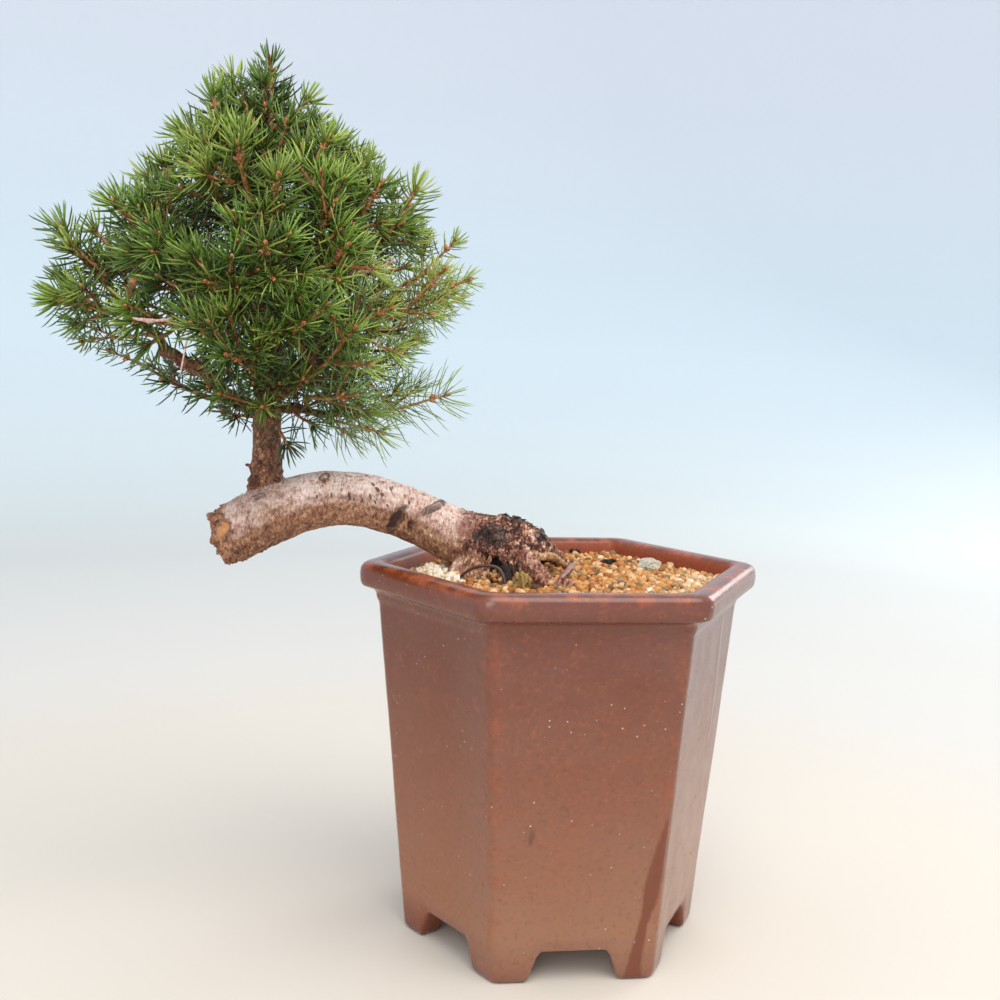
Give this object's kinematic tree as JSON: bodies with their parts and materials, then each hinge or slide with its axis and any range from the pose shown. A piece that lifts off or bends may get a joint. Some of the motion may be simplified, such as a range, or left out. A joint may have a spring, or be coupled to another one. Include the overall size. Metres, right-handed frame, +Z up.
{
  "type": "spruce bonsai in a hexagonal pot",
  "caption": "Spruce bonsai: an arched horizontal trunk grows out of a tall hexagonal stoneware pot and carries an upright leader with a dense, needled crown.",
  "frame": {"origin": "on the surface that the pot stands on, under the middle of the whole object's box", "axes": "+Z up, +X to the picture's right, +Y away from the camera; the tree leans out of the pot to -X"},
  "size_m": [0.3336, 0.1922, 0.407],
  "materials": {
    "brown_glazed_stoneware": "semi-gloss reddish brown glaze with rust mottles",
    "bonsai_grit": "loose orange-tan baked clay grains, matt",
    "spruce_bark": "flaky pinkish brown bark, matt",
    "spruce_needles": "living mid green needles, soft sheen",
    "white_pumice": "rough porous cream white",
    "grey_stone": "rough matt grey",
    "dry_moss": "dry yellowish green tuft",
    "dark_wire_coating": "dark brown anodised",
    "copper_wire": "reddish brown anodised",
    "black_mesh_plastic": "black screen"
  },
  "bodies": {
    "root": {"arc_wire": "dark_wire_coating", "drain_mesh": "black_mesh_plastic", "grey_stone": "grey_stone", "moss": "dry_moss", "pot": "brown_glazed_stoneware", "pumice_stone_1": "white_pumice", "pumice_stone_2": "white_pumice", "soil": "bonsai_grit", "spray_apex": "spruce_needles", "spray_back_1": "spruce_needles", "spray_back_10": "spruce_needles", "spray_back_11": "spruce_needles", "spray_back_12": "spruce_needles", "spray_back_2": "spruce_needles", "spray_back_3": "spruce_needles", "spray_back_4": "spruce_needles", "spray_back_5": "spruce_needles", "spray_back_6": "spruce_needles", "spray_back_7": "spruce_needles", "spray_back_8": "spruce_needles", "spray_back_9": "spruce_needles", "spray_front_1": "spruce_needles", "spray_front_2": "spruce_needles", "spray_front_3": "spruce_needles", "spray_front_4": "spruce_needles", "spray_front_5": "spruce_needles", "spray_front_6": "spruce_needles", "spray_front_7": "spruce_needles", "spray_front_8": "spruce_needles", "spray_front_9": "spruce_needles", "spray_left_1": "spruce_needles", "spray_left_10": "spruce_needles", "spray_left_11": "spruce_needles", "spray_left_2": "spruce_needles", "spray_left_3": "spruce_needles", "spray_left_4": "spruce_needles", "spray_left_5": "spruce_needles", "spray_left_6": "spruce_needles", "spray_left_7": "spruce_needles", "spray_left_8": "spruce_needles", "spray_left_9": "spruce_needles", "spray_low_left": "spruce_needles", "spray_right_1": "spruce_needles", "spray_right_10": "spruce_needles", "spray_right_11": "spruce_needles", "spray_right_12": "spruce_needles", "spray_right_13": "spruce_needles", "spray_right_14": "spruce_needles", "spray_right_15": "spruce_needles", "spray_right_2": "spruce_needles", "spray_right_3": "spruce_needles", "spray_right_4": "spruce_needles", "spray_right_5": "spruce_needles", "spray_right_6": "spruce_needles", "spray_right_7": "spruce_needles", "spray_right_8": "spruce_needles", "spray_right_9": "spruce_needles", "tie_wire": "copper_wire", "tree_wood": "spruce_bark"}
  },
  "joints": []
}
